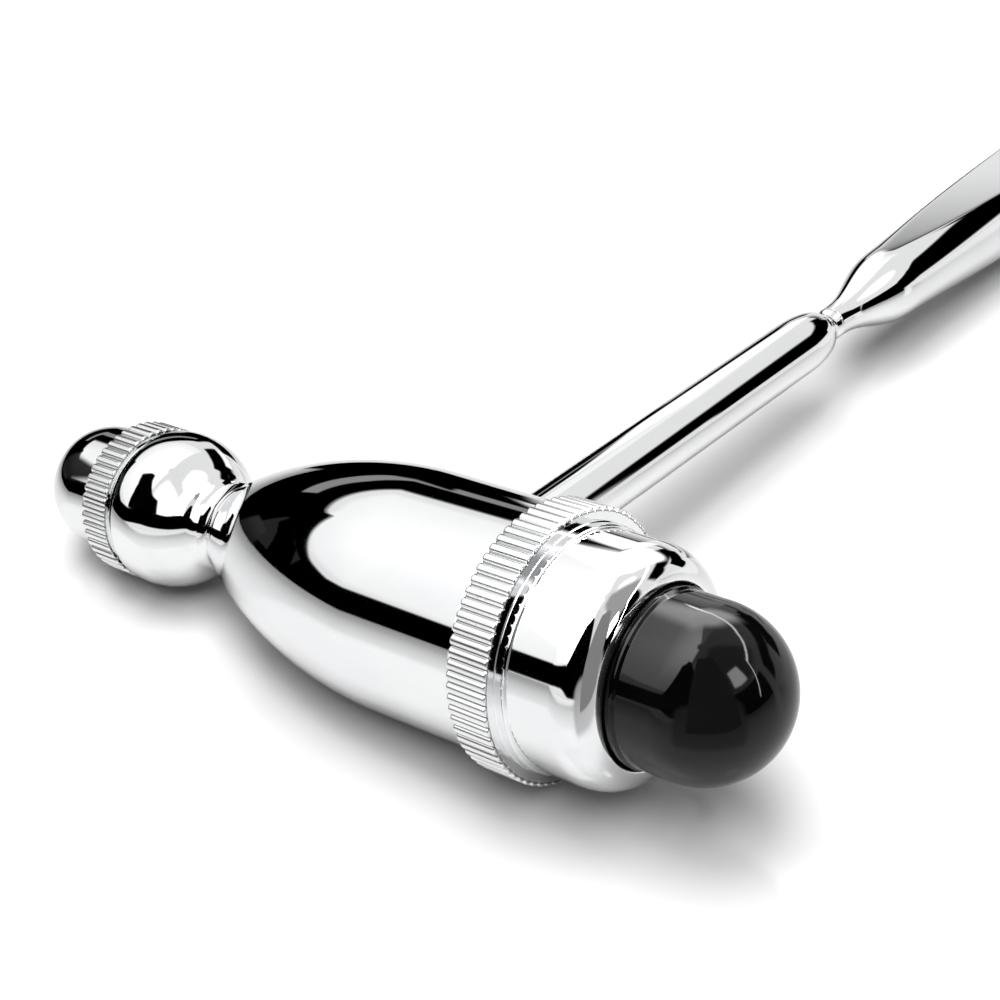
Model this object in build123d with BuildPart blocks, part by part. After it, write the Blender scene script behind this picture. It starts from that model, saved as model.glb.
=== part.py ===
"""Two-headed percussion hammer: a turned head with screwed caps and rubber buffers on a chromed handle.

Millimetres. The origin is where the head's axis meets the handle's axis. +X runs along the head to the
large buffer, +Y runs along the handle to the grip's end, and +Z is up when the hammer lies flat.
"""
import os
from math import acos, asin, cos, exp, radians, sin, sqrt, tan

from build123d import *

# ---- fits -------------------------------------------------------------------------------------------
thread_clearance = 0.08  # radial, between a screwed pair of stand-in cylinders
stud_clearance = 0.05  # radial, a stud or screw in its tapped bore
seat_gap = 0.05  # axial, between a clamped face and the cap that clamps it
lip_clearance = 0.15  # radial, a buffer in its cap's lip
body_gap = 0.4  # axial, the seam between a tightened cap and the body behind it

# ---- small edges and tool cuts ----------------------------------------------------------------------
edge_chamfer = 0.5  # on spigots, studs and the barrel's front
thin_edge = 0.3  # on rings and discs
knurl_angle = 80.0  # degrees, the full angle of a knurl's V groove
cut_overrun = 0.2  # how far a cut starts outside the metal
fillet_share = 0.95  # the largest fillet, as a share of what its edges can hold
quarter_turn = [radians(angle) for angle in range(0, 91, 15)]

# ---- head barrel ------------------------------------------------------------------------------------
barrel_r = 14.5
barrel_front_x = 14.6  # the flat end that the large cap closes against
barrel_round_x = -1.8  # behind this the barrel is one long arc
barrel_arc_r = 58.0
barrel_tail_r = 6.0  # radius of the flat tail behind the arc

# ---- large cap and what it clamps -------------------------------------------------------------------
cap_ring_r = 15.75
cap_ring_width = 5.3
cap_teeth = 72
cap_tooth_depth = 0.5
cap_body_r = 13.8
cap_body_length = 6.8  # the plain cylinder, from the ring to the shoulder
cap_shoulder_length = 4.4
cap_bead_r = 0.7
cap_lip_r = 10.25  # the opening's radius
cap_lip_length = 3.4
cap_lip_round = 0.3
cap_wall = 1.9
buffer_r = 9.9
buffer_flange_thickness = 3.0
buffer_cylinder_length = 5.3  # outside the cap, up to the dome's centre
buffer_root_length = 0.8  # the slightly wider root outside the cap
buffer_root_taper = 0.4
disc_thickness = 1.5

# ---- small cup, its cap and what it clamps ----------------------------------------------------------
cup_r = 10.0
cup_rim_length = 1.5  # from the sphere's centre to the rim
cup_rim_edge = 0.3
cup_neck_r = 5.5
cup_neck_length = 1.3
cup_neck_fillet = 2.2
small_ring_gap = 1.4  # the dark groove between the cup's rim and the knurled ring
small_ring_r = 9.9
small_ring_width = 4.2
small_teeth = 48
small_tooth_depth = 0.45
small_body_r = 7.95
small_body_length = 4.9
small_shoulder_length = 5.8
small_bead_r = 0.4
small_lip_r = 4.35
small_lip_length = 3.4
small_lip_round = 0.2
small_wall = 1.6
small_boss_r = 8.6  # the floor of the dark groove
small_flange_thickness = 2.7
small_dome_inset = 2.2  # from the cap's face back to the dome's centre
small_disc_thickness = 1.2

# ---- collar and stud between the barrel and the cup -------------------------------------------------
collar_length = 2.5
collar_end_r = 5.9
collar_waist_r = 5.2
neck_stud_r = 2.5
neck_stud_in_barrel = 13.0
neck_stud_in_cup = 12.0

# ---- handle -----------------------------------------------------------------------------------------
shaft_r = 4.0
shaft_seat_depth = 2.2  # how far the shaft's full diameter enters the barrel
shaft_thread_r = 3.0
shaft_thread_end_y = -4.0  # past the head's axis, where the lock screw presses on it
shaft_end_y = 82.0
shaft_nose_length = 7.0
shaft_nose_r = 2.3
lock_screw_r = 2.5
lock_screw_length = 7.0
lock_slot_width = 0.9
lock_slot_depth = 1.4
grip_stud_r = 1.8
grip_stud_embed = 13.0
neck_length = 2.6  # the visible stretch of the grip's stud

# ---- grip -------------------------------------------------------------------------------------------
grip_length = 145.0
grip_nose_length = 14.5
grip_nose_r = 2.3
grip_thickness = 10.6
grip_start_width = 10.6
grip_end_width = 18.0
grip_flat_share = 0.84  # the flat's share of the width, far from the nose
grip_flat_least = 0.04  # its share on the nose
grip_flat_start = 10.0  # from the grip's front to where the flat begins to open
grip_flat_growth = 17.0  # the length over which it opens
grip_waist_length = 29.0  # the stretch behind the nose that takes closer sections
grip_tail_length = 9.0  # the rounded end, seen from above
grip_edge_length = 3.5  # the rounded end, seen from the side

# ---- places that follow -----------------------------------------------------------------------------
barrel_drop = barrel_r - barrel_tail_r
barrel_tail_x = barrel_round_x - sqrt(barrel_arc_r**2 - (barrel_arc_r - barrel_drop) ** 2)
cap_ring_x = barrel_front_x + body_gap
cap_body_x = cap_ring_x + cap_ring_width
cap_shoulder_x = cap_body_x + cap_body_length
cap_face_x = cap_shoulder_x + cap_shoulder_length
cap_seat_x = cap_face_x - cap_lip_length
cap_bore_r = cap_body_r - cap_wall
flange_front_x = cap_seat_x - seat_gap
disc_front_x = flange_front_x - buffer_flange_thickness
disc_back_x = disc_front_x - disc_thickness
spigot_end_x = disc_back_x - seat_gap
spigot_r = cap_bore_r - thread_clearance
flange_r = cap_bore_r - lip_clearance
buffer_root_r = cap_lip_r - lip_clearance
buffer_dome_x = cap_face_x + buffer_cylinder_length

cup_neck_x = barrel_tail_x - collar_length
cup_centre_x = cup_neck_x - cup_neck_length - sqrt(cup_r**2 - cup_neck_r**2)
cup_rim_x = cup_centre_x - cup_rim_length
cup_rim_r = sqrt(cup_r**2 - cup_rim_length**2)
small_ring_x = cup_rim_x - small_ring_gap
small_body_x = small_ring_x - small_ring_width
small_shoulder_x = small_body_x - small_body_length
small_face_x = small_shoulder_x - small_shoulder_length
small_seat_x = small_face_x + small_lip_length
small_bore_r = small_body_r - small_wall
small_flange_front_x = small_seat_x + seat_gap
small_disc_front_x = small_flange_front_x + small_flange_thickness
small_disc_back_x = small_disc_front_x + small_disc_thickness
small_spigot_end_x = small_disc_back_x + seat_gap
small_spigot_r = small_bore_r - thread_clearance
small_flange_r = small_bore_r - lip_clearance
small_buffer_r = small_lip_r - lip_clearance
small_dome_x = small_face_x + small_dome_inset

shaft_seat_y = barrel_r - shaft_seat_depth
lock_screw_x = shaft_thread_r + seat_gap
grip_start_y = shaft_end_y + neck_length
grip_end_y = grip_start_y + grip_length


# ---- shared shapes ----------------------------------------------------------------------------------
def across_head(x):
    """The plane across the head's axis at x, facing the large buffer."""
    return Plane.YZ.offset(x)


def across_handle(y):
    """The plane across the handle's axis at y, facing the grip's end."""
    return Plane(origin=(0, y, 0), x_dir=(1, 0, 0), z_dir=(0, 1, 0))


def cut_grooves(plane, ring_r, width, teeth, depth):
    """Cuts the V grooves of a straight knurl into the current part."""
    half_mouth = (depth + cut_overrun) * tan(radians(knurl_angle / 2))
    with BuildSketch(plane) as grooves:
        with PolarLocations(ring_r, teeth):
            Polygon((-depth, 0), (cut_overrun, -half_mouth), (cut_overrun, half_mouth), align=None)
    extrude(grooves.sketch, amount=width, mode=Mode.SUBTRACT)


def cut_bore(plane, radius, depth):
    """Cuts a round blind hole from a plane along its normal."""
    with BuildSketch(plane) as mouth:
        Circle(radius)
    extrude(mouth.sketch, amount=depth, mode=Mode.SUBTRACT)


def cap_outline(sign, ring_x, body_x, shoulder_x, face_x, seat_x, radii, bead, edge, lip_round):
    """Half section of a screwed cap; sign is the way along X in which it points."""
    ring_r, body_r, lip_r, bore_r = radii
    shoulder_r = body_r - lip_r - lip_round
    shoulder_length = abs(face_x - shoulder_x)
    bead_x = body_x + sign * bead
    Polyline(
        (seat_x, lip_r),
        (seat_x, bore_r),
        (ring_x, bore_r),
        (ring_x, ring_r - edge),
        (ring_x + sign * edge, ring_r),
        (body_x - sign * edge, ring_r),
        (body_x, ring_r - edge),
        (body_x, body_r),
    )
    ThreePointArc((body_x, body_r), (bead_x, body_r + bead), (bead_x + sign * bead, body_r))
    Line((bead_x + sign * bead, body_r), (shoulder_x, body_r))
    shoulder = [
        (shoulder_x + sign * shoulder_length * sin(a), body_r - shoulder_r * (1 - cos(a)))
        for a in quarter_turn
    ]
    Spline(*shoulder, tangents=[(sign, 0), (0, -1)])
    RadiusArc((face_x, lip_r + lip_round), (face_x - sign * lip_round, lip_r), sign * lip_round)
    Line((face_x - sign * lip_round, lip_r), (seat_x, lip_r))


# ---- head barrel ------------------------------------------------------------------------------------
with BuildPart() as head_barrel:
    with BuildSketch(Plane.XY):
        with BuildLine():
            Polyline(
                (barrel_tail_x, 0),
                (spigot_end_x, 0),
                (spigot_end_x, spigot_r - edge_chamfer),
                (spigot_end_x - edge_chamfer, spigot_r),
                (barrel_front_x, spigot_r),
                (barrel_front_x, barrel_r - edge_chamfer),
                (barrel_front_x - edge_chamfer, barrel_r),
                (barrel_round_x, barrel_r),
            )
            swing = asin((barrel_round_x - barrel_tail_x) / barrel_arc_r) / 2
            middle_r = barrel_r - barrel_arc_r * (1 - cos(swing))
            ThreePointArc(
                (barrel_round_x, barrel_r),
                (barrel_round_x - barrel_arc_r * sin(swing), middle_r),
                (barrel_tail_x, barrel_tail_r),
            )
            Line((barrel_tail_x, barrel_tail_r), (barrel_tail_x, 0))
        make_face()
    revolve(axis=Axis.X)
    cut_bore(across_head(barrel_tail_x), neck_stud_r + stud_clearance, neck_stud_in_barrel)
    cut_bore(across_head(0), lock_screw_r + stud_clearance, spigot_end_x)
    thread_depth = shaft_seat_y - shaft_thread_end_y + seat_gap
    cut_bore(across_handle(shaft_seat_y - thread_depth), shaft_thread_r + stud_clearance, thread_depth)
    cut_bore(across_handle(shaft_seat_y), shaft_r + stud_clearance, barrel_r)
head_barrel.part.label = "head_barrel"

# ---- collar, cup and the stud through them ----------------------------------------------------------
with BuildPart() as neck_collar:
    with BuildSketch(Plane.XY):
        with BuildLine():
            bore_r = neck_stud_r + stud_clearance
            Polyline(
                (cup_neck_x, cup_neck_r),
                (cup_neck_x, bore_r),
                (barrel_tail_x, bore_r),
                (barrel_tail_x, collar_end_r),
            )
            ThreePointArc(
                (barrel_tail_x, collar_end_r),
                ((barrel_tail_x + cup_neck_x) / 2, collar_waist_r),
                (cup_neck_x, cup_neck_r),
            )
        make_face()
    revolve(axis=Axis.X)
neck_collar.part.label = "neck_collar"

with BuildPart() as small_cup:
    with BuildSketch(Plane.XY):
        with BuildLine():
            sphere_x = cup_neck_x - cup_neck_length
            Polyline(
                (cup_rim_x, small_boss_r),
                (small_ring_x + body_gap, small_boss_r),
                (small_ring_x + body_gap, small_spigot_r),
                (small_spigot_end_x + edge_chamfer, small_spigot_r),
                (small_spigot_end_x, small_spigot_r - edge_chamfer),
                (small_spigot_end_x, 0),
                (cup_neck_x, 0),
                (cup_neck_x, cup_neck_r),
                (sphere_x, cup_neck_r),
            )
            ThreePointArc((sphere_x, cup_neck_r), (cup_centre_x, cup_r), (cup_rim_x, cup_rim_r))
            Line((cup_rim_x, cup_rim_r), (cup_rim_x, small_boss_r))
        make_face()
        corner = vertices().sort_by_distance((sphere_x, cup_neck_r, 0))[0]
        half_bend = acos(cup_neck_r / cup_r) / 2
        fillet(corner, min(cup_neck_fillet, fillet_share * cup_neck_length / tan(half_bend)))
        rim = vertices().sort_by_distance((cup_rim_x, cup_rim_r, 0))[0]
        chamfer(rim, min(cup_rim_edge, (cup_rim_r - small_boss_r) / 2))
    revolve(axis=Axis.X)
    cut_bore(across_head(cup_neck_x - neck_stud_in_cup), neck_stud_r + stud_clearance, neck_stud_in_cup)
small_cup.part.label = "small_cup"

with BuildPart() as neck_stud:
    with BuildSketch(across_head(cup_neck_x - neck_stud_in_cup)):
        Circle(neck_stud_r)
    extrude(amount=neck_stud_in_cup + collar_length + neck_stud_in_barrel)
    chamfer(neck_stud.edges().filter_by(GeomType.CIRCLE), edge_chamfer)
neck_stud.part.label = "neck_stud"

# ---- large cap, buffer and disc ---------------------------------------------------------------------
with BuildPart() as large_cap:
    with BuildSketch(Plane.XY):
        with BuildLine():
            radii = (cap_ring_r, cap_body_r, cap_lip_r, cap_bore_r)
            cap_outline(1, cap_ring_x, cap_body_x, cap_shoulder_x, cap_face_x, cap_seat_x, radii,
                        cap_bead_r, thin_edge, cap_lip_round)
        make_face()
    revolve(axis=Axis.X)
    cut_grooves(across_head(cap_ring_x), cap_ring_r, cap_ring_width, cap_teeth, cap_tooth_depth)
large_cap.part.label = "large_cap"

with BuildPart() as large_buffer:
    with BuildSketch(Plane.XY):
        with BuildLine():
            root_x = cap_face_x + buffer_root_length
            Polyline(
                (buffer_dome_x + buffer_r, 0),
                (disc_front_x, 0),
                (disc_front_x, flange_r),
                (flange_front_x, flange_r),
                (flange_front_x, buffer_root_r),
                (root_x, buffer_root_r),
                (root_x + buffer_root_taper, buffer_r),
                (buffer_dome_x, buffer_r),
            )
            RadiusArc((buffer_dome_x, buffer_r), (buffer_dome_x + buffer_r, 0), buffer_r)
        make_face()
    revolve(axis=Axis.X)
large_buffer.part.label = "large_buffer"

with BuildPart() as large_backing_disc:
    with BuildSketch(across_head(disc_back_x)):
        Circle(flange_r)
    extrude(amount=disc_thickness)
    chamfer(large_backing_disc.edges().filter_by(GeomType.CIRCLE), thin_edge)
large_backing_disc.part.label = "large_backing_disc"

# ---- small cap, buffer and disc ---------------------------------------------------------------------
with BuildPart() as small_cap:
    with BuildSketch(Plane.XY):
        with BuildLine():
            radii = (small_ring_r, small_body_r, small_lip_r, small_bore_r)
            cap_outline(-1, small_ring_x, small_body_x, small_shoulder_x, small_face_x, small_seat_x, radii,
                        small_bead_r, thin_edge, small_lip_round)
        make_face()
    revolve(axis=Axis.X)
    cut_grooves(across_head(small_body_x), small_ring_r, small_ring_width, small_teeth, small_tooth_depth)
small_cap.part.label = "small_cap"

with BuildPart() as small_buffer:
    with BuildSketch(Plane.XY):
        with BuildLine():
            Polyline(
                (small_dome_x - small_buffer_r, 0),
                (small_disc_front_x, 0),
                (small_disc_front_x, small_flange_r),
                (small_flange_front_x, small_flange_r),
                (small_flange_front_x, small_buffer_r),
                (small_dome_x, small_buffer_r),
            )
            RadiusArc((small_dome_x, small_buffer_r), (small_dome_x - small_buffer_r, 0), -small_buffer_r)
        make_face()
    revolve(axis=Axis.X)
small_buffer.part.label = "small_buffer"

with BuildPart() as small_backing_disc:
    with BuildSketch(across_head(small_disc_front_x)):
        Circle(small_flange_r)
    extrude(amount=small_disc_thickness)
    chamfer(small_backing_disc.edges().filter_by(GeomType.CIRCLE), thin_edge)
small_backing_disc.part.label = "small_backing_disc"

# ---- handle -----------------------------------------------------------------------------------------
with BuildPart() as handle_shaft:
    with BuildSketch(Plane.XY):
        with BuildLine():
            nose_y = shaft_end_y - shaft_nose_length
            Polyline(
                (shaft_nose_r, shaft_end_y),
                (0, shaft_end_y),
                (0, shaft_thread_end_y),
                (shaft_thread_r, shaft_thread_end_y),
                (shaft_thread_r, shaft_seat_y),
                (shaft_r, shaft_seat_y),
                (shaft_r, nose_y),
            )
            depth = shaft_r - shaft_nose_r
            nose = [
                (shaft_r - depth * (1 - cos(a)), nose_y + shaft_nose_length * sin(a))
                for a in quarter_turn
            ]
            Spline(*nose, tangents=[(0, 1), (-1, 0)])
        make_face()
    revolve(axis=Axis.Y)
    cut_bore(across_handle(shaft_end_y - grip_stud_embed), grip_stud_r + stud_clearance, grip_stud_embed)
handle_shaft.part.label = "handle_shaft"

with BuildPart() as handle_lock_screw:
    with BuildSketch(across_head(lock_screw_x)):
        Circle(lock_screw_r)
    extrude(amount=lock_screw_length)
    with BuildSketch(across_head(lock_screw_x + lock_screw_length - lock_slot_depth)):
        Rectangle(2 * (lock_screw_r + cut_overrun), lock_slot_width)
    extrude(amount=lock_slot_depth, mode=Mode.SUBTRACT)
handle_lock_screw.part.label = "handle_lock_screw"

with BuildPart() as grip_stud:
    with BuildSketch(across_handle(shaft_end_y - grip_stud_embed)):
        Circle(grip_stud_r)
    extrude(amount=2 * grip_stud_embed + neck_length)
grip_stud.part.label = "grip_stud"


# ---- grip -------------------------------------------------------------------------------------------
def grip_section(y):
    """Half thickness, half flat and half width of the grip at y.

    The nose swells smoothly from the neck to the full thickness. Behind it the width grows evenly, and
    the flat opens towards a fixed share of the width.
    """
    along = y - grip_start_y
    swell = min(along / grip_nose_length, 1.0)
    swell = swell * swell * (3 - 2 * swell)
    half_thickness = grip_nose_r + (grip_thickness / 2 - grip_nose_r) * swell
    growth = max(along - grip_nose_length, 0.0) / (grip_length - grip_nose_length)
    width = grip_start_width + (grip_end_width - grip_start_width) * growth
    half_width = grip_nose_r + (width / 2 - grip_nose_r) * swell
    opening = max(along - grip_flat_start, 0.0) / grip_flat_growth
    half_flat = half_width * max(grip_flat_share * (1 - exp(-opening)), grip_flat_least)
    return half_thickness, half_flat, half_width


def tail_outline(half, tail, across, along):
    """A long outline with a half-elliptic end; across and along are the sketch's unit steps."""
    def at(side, y):
        return (across[0] * side + along[0] * y, across[1] * side + along[1] * y)

    start_y = grip_start_y - cut_overrun
    half_turn = [-a for a in reversed(quarter_turn)] + quarter_turn[1:]
    curve = [at(half * sin(a), grip_end_y - tail + tail * cos(a)) for a in half_turn]
    Polyline(curve[-1], at(half, start_y), at(-half, start_y), curve[0])
    Spline(*curve, tangents=[along, (-along[0], -along[1])])


waist_end = grip_nose_length + grip_waist_length
stretches = ((0, grip_nose_length, 6), (grip_nose_length, waist_end, 4), (waist_end, grip_length, 3))
with BuildPart() as grip:
    for start, end, spans in stretches:
        for step in range(spans + 1):
            station_y = grip_start_y + start + (end - start) * step / spans
            thickness, flat, width = grip_section(station_y)
            with BuildSketch(across_handle(station_y)):
                with BuildLine():
                    Line((-flat, thickness), (flat, thickness))
                    ThreePointArc((flat, thickness), (width, 0), (flat, -thickness))
                    Line((flat, -thickness), (-flat, -thickness))
                    ThreePointArc((-flat, -thickness), (-width, 0), (-flat, thickness))
                make_face()
        loft()
    with BuildSketch(Plane.XY.offset(-grip_thickness)):
        with BuildLine():
            tail_outline(grip_end_width / 2, grip_tail_length, (1, 0), (0, 1))
        make_face()
    extrude(amount=2 * grip_thickness, mode=Mode.INTERSECT)
    with BuildSketch(Plane.YZ.offset(-grip_end_width)):
        with BuildLine():
            tail_outline(grip_thickness / 2, grip_edge_length, (0, 1), (1, 0))
        make_face()
    extrude(amount=2 * grip_end_width, mode=Mode.INTERSECT)
    cut_bore(across_handle(grip_start_y), grip_stud_r + stud_clearance, grip_stud_embed)
grip.part.label = "grip"

# ---- files ------------------------------------------------------------------------------------------
pieces = [head_barrel, neck_collar, small_cup, neck_stud, large_cap, large_buffer, large_backing_disc,
          small_cap, small_buffer, small_backing_disc, handle_shaft, handle_lock_screw, grip_stud, grip]
os.makedirs("parts", exist_ok=True)
for piece in pieces:
    export_step(piece.part, f"parts/{piece.part.label}.step")
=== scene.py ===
import bpy
import numpy as np
from mathutils import Matrix, Vector


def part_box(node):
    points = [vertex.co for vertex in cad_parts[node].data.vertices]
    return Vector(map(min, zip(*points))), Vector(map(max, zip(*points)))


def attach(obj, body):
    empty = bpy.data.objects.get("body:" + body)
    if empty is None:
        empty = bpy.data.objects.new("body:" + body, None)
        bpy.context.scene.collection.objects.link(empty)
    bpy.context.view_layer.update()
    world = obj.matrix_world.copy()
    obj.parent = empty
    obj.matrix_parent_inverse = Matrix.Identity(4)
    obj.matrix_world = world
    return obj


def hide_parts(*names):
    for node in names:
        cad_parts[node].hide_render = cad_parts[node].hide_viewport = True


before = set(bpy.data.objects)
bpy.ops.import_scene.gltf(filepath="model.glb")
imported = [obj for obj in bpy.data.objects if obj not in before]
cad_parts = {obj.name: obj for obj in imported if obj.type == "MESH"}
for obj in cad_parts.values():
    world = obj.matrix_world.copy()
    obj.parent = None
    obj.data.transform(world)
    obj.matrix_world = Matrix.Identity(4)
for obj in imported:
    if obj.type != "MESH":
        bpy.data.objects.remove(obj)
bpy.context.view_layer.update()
scene = bpy.context.scene
mm = 0.001
roundSteps = 288  # columns round the thick pieces; the thin ones have half as many
arcStep = 9  # degrees between two points of a rounded corner
sideShare = 0.48  # how much of its shorter side a corner's arc may take
print("frame loaded:", len(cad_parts), "nodes")

# The head turns round X and the handle round Y, both through the origin. Sizes below are in millimetres,
# and turn into metres when a mesh is built.


def nodeBox(node):
    # lowest and highest corner of a CAD node, in millimetres
    low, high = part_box(node)
    return np.array(low) / mm, np.array(high) / mm


def arcPoints(centre, radius, start, end, steps):
    # points (along, radius, round) on a circle, from one angle to another, in degrees
    a = np.radians(np.linspace(start, end, steps + 1))
    return [(centre[0] + radius * np.cos(t), centre[1] + radius * np.sin(t), 0.0) for t in a]


def roundCorners(corners, closed=False):
    # each corner is (along, radius, round), and a round above 0 becomes an arc tangent to its two sides: its
    # centre lies on the corner's bisector, and its points turn evenly from one tangent point to the other
    points = np.array([corner[:2] for corner in corners], float)
    pieces = []
    for i, (point, corner) in enumerate(zip(points, corners)):
        if corner[2] <= 0 or (not closed and i in (0, len(points) - 1)):
            pieces.append(point[None])
            continue
        before, after = points[i - 1] - point, points[(i + 1) % len(points)] - point
        lengthBefore, lengthAfter = np.linalg.norm(before), np.linalg.norm(after)
        before, after = before / lengthBefore, after / lengthAfter
        half = np.arccos(np.clip(before @ after, -1, 1)) / 2
        back = min(corner[2] / np.tan(half), sideShare * min(lengthBefore, lengthAfter))
        centre = point + (before + after) / np.linalg.norm(before + after) * back / np.cos(half)
        first, last = point + before * back - centre, point + after * back - centre
        swing = np.pi - 2 * half
        t = np.linspace(0, 1, max(4, int(np.degrees(swing) / arcStep)) + 1)[:, None]
        arc = (np.sin((1 - t) * swing) * first + np.sin(t * swing) * last) / np.sin(swing)
        pieces.append(centre + arc)
    return np.concatenate(pieces)


def turnedGrid(outline, steps, cut=None, axis="x"):
    # every outline point carried round the axis; cut(along, radius, angle) is a depth taken off the radius
    angle = np.linspace(0, 2 * np.pi, steps, endpoint=False)[None, :]
    along, radius = outline[:, :1], outline[:, 1:2]
    if cut:
        radius = radius - cut(along, radius, angle)
    grid = np.stack([along + 0 * angle, radius * np.cos(angle), radius * np.sin(angle)], axis=2)
    return grid if axis == "x" else grid[:, :, [2, 0, 1]]


def gridNormals(grid, closed):
    # the cross product of the two chords through each grid point, from neighbour to neighbour
    across = np.roll(grid, -1, 1) - np.roll(grid, 1, 1)
    if closed:
        along = np.roll(grid, -1, 0) - np.roll(grid, 1, 0)
    else:
        ends = grid[1:2] - grid[:1], grid[-1:] - grid[-2:-1]
        along = np.concatenate([ends[0], grid[2:] - grid[:-2], ends[1]])
    normals = np.cross(across, along)
    return normals / np.maximum(np.linalg.norm(normals, axis=2, keepdims=True), 1e-9)


def gridPiece(name, grid, closed=False):
    # a closed skin from a grid whose columns run round: the rows join up, or the end rows shrink to poles
    rows, columns = grid.shape[:2]
    index = np.arange(rows * columns).reshape(rows, columns)
    normals = gridNormals(grid, closed)
    points, normals = grid.reshape(-1, 3), normals.reshape(-1, 3)
    if closed:
        top = np.roll(index, -1, 0)
        fans = np.zeros((0, 3), int)
    else:
        top, index = index[2:-1], index[1:-2]
        poles = np.array([grid[0].mean(0), grid[-1].mean(0)])
        outward = poles - np.array([grid[1].mean(0), grid[-2].mean(0)])
        flat = np.array([poles[0] - poles[1], poles[1] - poles[0]])
        outward = np.where(np.linalg.norm(outward, axis=1, keepdims=True) > 1e-6, outward, flat)
        points = np.concatenate([points, poles])
        normals = np.concatenate([normals, outward / np.linalg.norm(outward, axis=1, keepdims=True)])
        first, last = index[0], top[-1]
        start = np.full(columns, rows * columns)
        fans = np.concatenate([
            np.stack([start, np.roll(first, -1), first], 1),
            np.stack([start + 1, last, np.roll(last, -1)], 1),
        ])
    quads = np.stack([index, np.roll(index, -1, 1), np.roll(top, -1, 1), top], axis=2).reshape(-1, 4)
    used, renumbered = np.unique(np.concatenate([quads.ravel(), fans.ravel()]), return_inverse=True)
    sizes = np.concatenate([np.full(len(quads), 4), np.full(len(fans), 3)])
    mesh = bpy.data.meshes.new(name)
    mesh.vertices.add(len(used))
    mesh.vertices.foreach_set("co", (points[used] * mm).astype(np.float32).ravel())
    mesh.loops.add(len(renumbered))
    mesh.loops.foreach_set("vertex_index", renumbered.astype(np.int32))
    mesh.polygons.add(len(sizes))
    mesh.polygons.foreach_set("loop_start", (np.cumsum(sizes) - sizes).astype(np.int32))
    mesh.polygons.foreach_set("use_smooth", np.ones(len(sizes), bool))
    mesh.update(calc_edges=True)
    mesh.validate()
    mesh.normals_split_custom_set_from_vertices(normals[used].astype(np.float32))
    piece = bpy.data.objects.new(name, mesh)
    scene.collection.objects.link(piece)
    return piece


def dress(piece, node, body, material):
    # the piece stands for its CAD node, moves with its body and takes its material
    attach(piece, body)
    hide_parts(node)
    piece.data.materials.clear()
    piece.data.materials.append(material)


def smoother(t):
    # from 0 to 1, with no bend or change of bend at either end
    t = np.clip(t, 0, 1)
    return t ** 3 * (10 + t * (6 * t - 15))


def smooth(t):
    # from 0 to 1, level at both ends
    t = np.clip(t, 0, 1)
    return t * t * (3 - 2 * t)


def threadCut(thread, crest, start, end):
    # a helix of ridges, cut where the outline is at the crest's radius: the depth follows a cosine of how
    # far along and round a point is, in turns, and fades out at both ends
    def cut(along, radius, angle):
        turns = along / thread["pitch"] - angle / (2 * np.pi)
        ridge = 0.5 - 0.5 * np.cos(2 * np.pi * turns)
        runOut = smooth((along - start) / thread["runOut"]) * smooth((end - along) / thread["runOut"])
        onCrest = np.abs(radius - crest) < thread["depth"] / 1000
        return thread["depth"] * ridge ** thread["sharpness"] * runOut * onCrest
    return cut


def knurlCut(knurl, ringRadius):
    # straight grooves round the rim: the depth is a power of the way across from a tooth's middle to the
    # next groove, which rounds each tooth and leaves a narrow line between two
    def cut(along, radius, angle):
        across = np.abs((angle * knurl["teeth"] / (2 * np.pi)) % 1 - 0.5) * 2
        return knurl["depth"] * across ** knurl["power"] * (radius > ringRadius - knurl["reach"])
    return cut


def capOutline(sizes, ringX, faceX, pointing):
    # half section of a screwed cap, from its ring's back over the step, the cylinder and the elliptic
    # shoulder to the lip, and back through the bore; pointing is 1 for the cap that faces +X, or else -1
    bodyX = ringX + pointing * sizes["ringWidth"]
    stepX = bodyX + pointing * sizes["stepLength"]
    shoulderX = faceX - pointing * sizes["shoulderLength"]
    lipX = faceX - pointing * sizes["lipLength"]
    step, lip, edge, root = sizes["stepHeight"], sizes["lipRound"], sizes["edge"], sizes["rootRound"]
    drop = sizes["bodyRadius"] - sizes["lipRadius"] - lip
    turn = np.radians(np.linspace(0, 90, 25))
    shoulder = [(shoulderX + pointing * sizes["shoulderLength"] * np.sin(a),
                 sizes["bodyRadius"] - drop * (1 - np.cos(a)), 0.0) for a in turn]
    side = 90 - 90 * pointing
    inward = side - 90 * pointing
    corners = [
        (ringX, sizes["boreRadius"], edge),
        (ringX, sizes["ringRadius"], edge),
        (bodyX, sizes["ringRadius"], edge),
        (bodyX, sizes["bodyRadius"] + step, root),
        *arcPoints((stepX, sizes["bodyRadius"]), step, 90, side, 14),
        *shoulder,
        *arcPoints((faceX - pointing * lip, sizes["lipRadius"] + lip), lip, side, inward, 8)[1:],
        (lipX, sizes["lipRadius"], root),
        (lipX, sizes["boreRadius"], root),
    ]
    return roundCorners(corners if pointing > 0 else corners[::-1], closed=True)


def newMaterial(name):
    # a named material with its nodes, its links and its principled shader
    material = bpy.data.materials.new(name)
    material.use_nodes = True
    nodes, links = material.node_tree.nodes, material.node_tree.links
    return material, nodes, links, nodes["Principled BSDF"]


def spot(nodes, links, scale, offset):
    # object coordinates in the pattern's own scale, moved so that no two finishes share a pattern
    coordinate = nodes.new("ShaderNodeTexCoord")
    mapping = nodes.new("ShaderNodeMapping")
    mapping.inputs["Scale"].default_value = scale
    mapping.inputs["Location"].default_value = offset
    links.new(coordinate.outputs["Object"], mapping.inputs["Vector"])
    return mapping.outputs["Vector"]


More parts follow.
